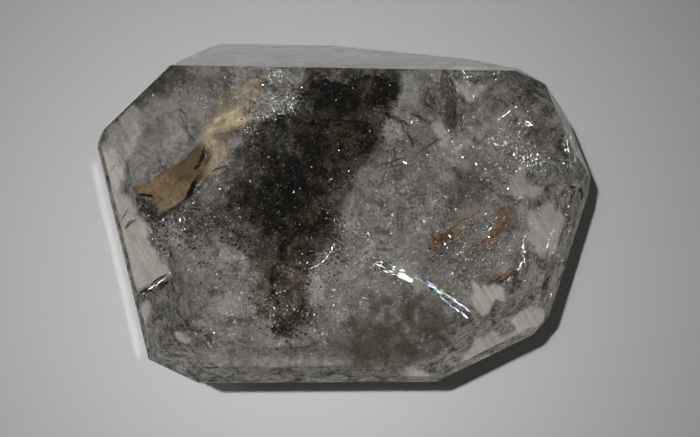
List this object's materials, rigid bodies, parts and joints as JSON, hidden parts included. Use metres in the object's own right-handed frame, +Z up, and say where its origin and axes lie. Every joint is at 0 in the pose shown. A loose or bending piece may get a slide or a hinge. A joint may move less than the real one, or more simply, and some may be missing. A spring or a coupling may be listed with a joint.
{
  "type": "herkimer diamond quartz crystal",
  "caption": "Doubly terminated smoky-clear quartz crystal lying on one face, with a black hydrocarbon mass and a brown flake sealed inside.",
  "frame": {"origin": "on the surface it lies on, under the middle of the crystal's box", "axes": "+Z up, out of the top face; +X along the crystal's longest side; +Y towards its back edge"},
  "size_m": [0.0654, 0.0488, 0.03],
  "materials": {
    "clear_quartz": "clear, natural glossy faces, IOR 1.544",
    "black_hydrocarbon": "rough with glints",
    "brown_clay": "dull, earthy"
  },
  "bodies": {
    "root": {"crystal_lower": "clear_quartz", "crystal_upper": "clear_quartz", "black_inclusion": "black_hydrocarbon", "brown_flake": "brown_clay"}
  },
  "joints": []
}
